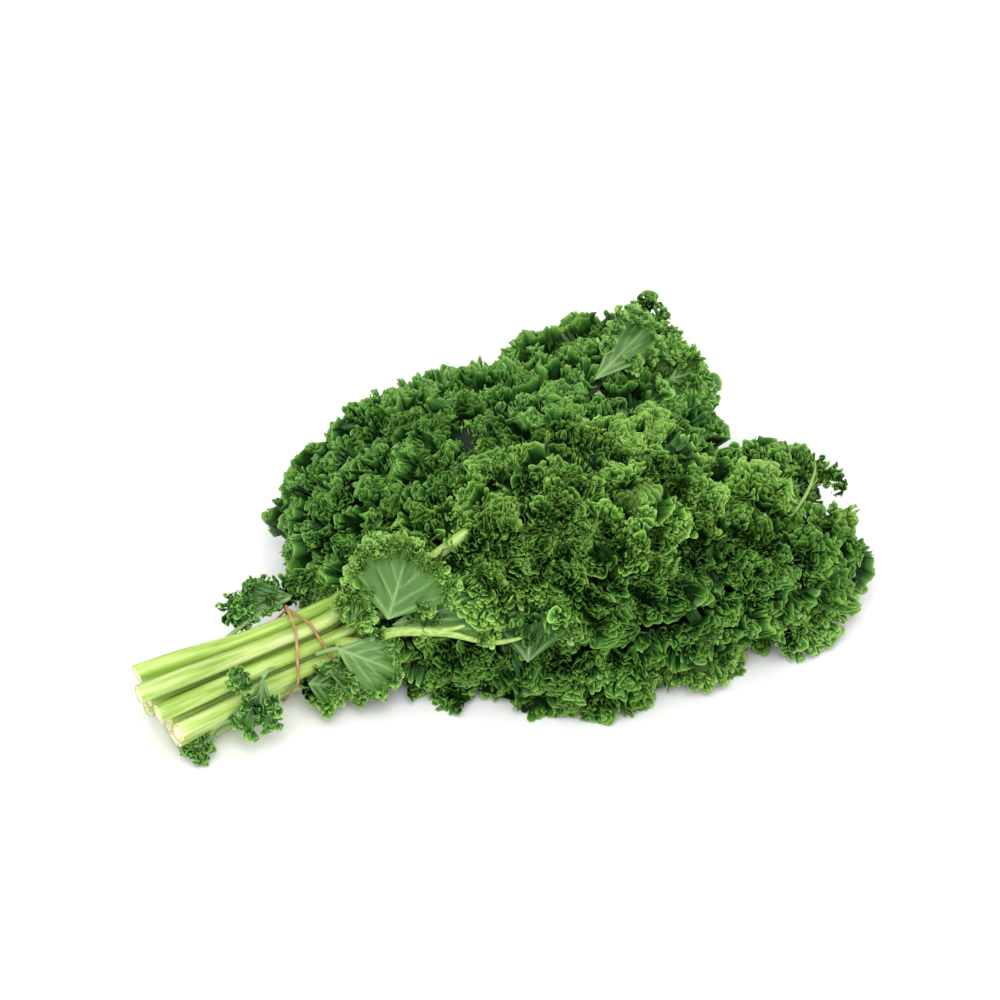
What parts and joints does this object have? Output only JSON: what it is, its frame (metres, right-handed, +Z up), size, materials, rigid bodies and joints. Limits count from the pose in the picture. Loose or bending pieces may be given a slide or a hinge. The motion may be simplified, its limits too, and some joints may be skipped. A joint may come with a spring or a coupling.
{
  "type": "kale bunch",
  "caption": "Bunch of curly kale lying on its side: pale ribbed stalks held by a doubled rubber band, opening into a wide head of tightly frilled green leaves.",
  "frame": {"origin": "on the surface the bunch lies on, under the middle of its bounding box", "axes": "+X along the bunch from the cut ends to the leaf tips, +Z up"},
  "size_m": [0.407, 0.2504, 0.1196],
  "materials": {
    "blade": "satin",
    "stalk": "satin",
    "band": "matte"
  },
  "bodies": {
    "root": {"leaf_01": "blade", "leaf_02": "blade", "leaf_03": "blade", "leaf_04": "blade", "leaf_05": "blade", "leaf_06": "blade", "leaf_07": "blade", "leaf_08": "blade", "leaf_09": "blade", "leaf_10": "blade", "leaf_11": "blade", "leaf_12": "blade", "leaf_13": "blade", "leaf_14": "blade", "leaflet_hanging": "blade", "leaflet_by_band": "blade", "leaflet_low": "blade", "leaflet_high": "blade", "stalk_01": "stalk", "stalk_02": "stalk", "stalk_03": "stalk", "stalk_04": "stalk", "stalk_05": "stalk", "stalk_06": "stalk", "stalk_07": "stalk", "stalk_08": "stalk", "stalk_09": "stalk", "stalk_10": "stalk", "stalk_11": "stalk", "stalk_12": "stalk", "stalk_13": "stalk", "stalk_14": "stalk", "rubber_band": "band"}
  },
  "joints": []
}
